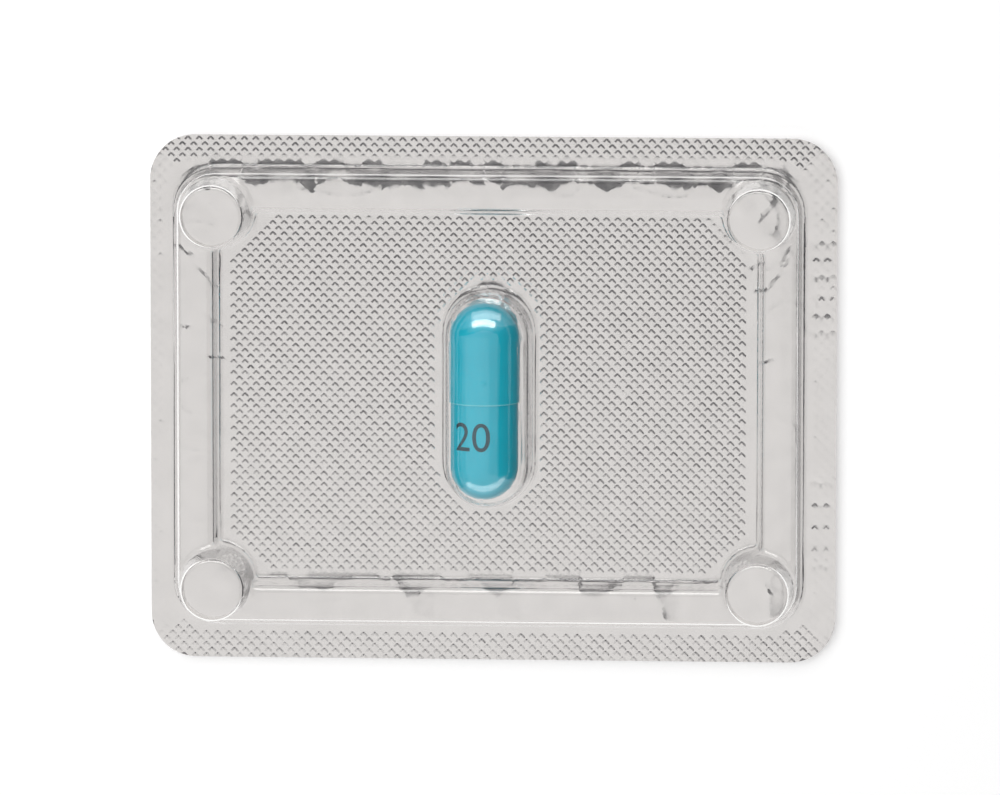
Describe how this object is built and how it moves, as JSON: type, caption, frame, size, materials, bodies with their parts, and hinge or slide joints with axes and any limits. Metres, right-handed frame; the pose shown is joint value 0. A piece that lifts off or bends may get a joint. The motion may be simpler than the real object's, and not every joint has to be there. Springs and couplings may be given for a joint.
{
  "type": "pill blister pack",
  "caption": "Clear formed film on embossed foil, with a raised channel frame, corner posts and a central cavity that holds a hard capsule.",
  "frame": {"origin": "centre of the pack's outline on the underside of the foil", "axes": "+X along the long side, +Y along the short side and the capsule's cap end, +Z out of the foil on the cavity side"},
  "size_m": [0.0672, 0.0516, 0.0075],
  "materials": {
    "clear_film": "clear thermoformed film, glossy",
    "bright_foil": "bright rolled aluminium with a fine diamond seal pattern",
    "capsule_shell": "smooth turquoise gelatine with a soft gloss",
    "powder": "packed off-white powder"
  },
  "bodies": {
    "root": {"blister_film": "clear_film", "lidding_foil": "bright_foil", "capsule_cap": "capsule_shell", "capsule_body": "capsule_shell", "capsule_fill": "powder"}
  },
  "joints": []
}
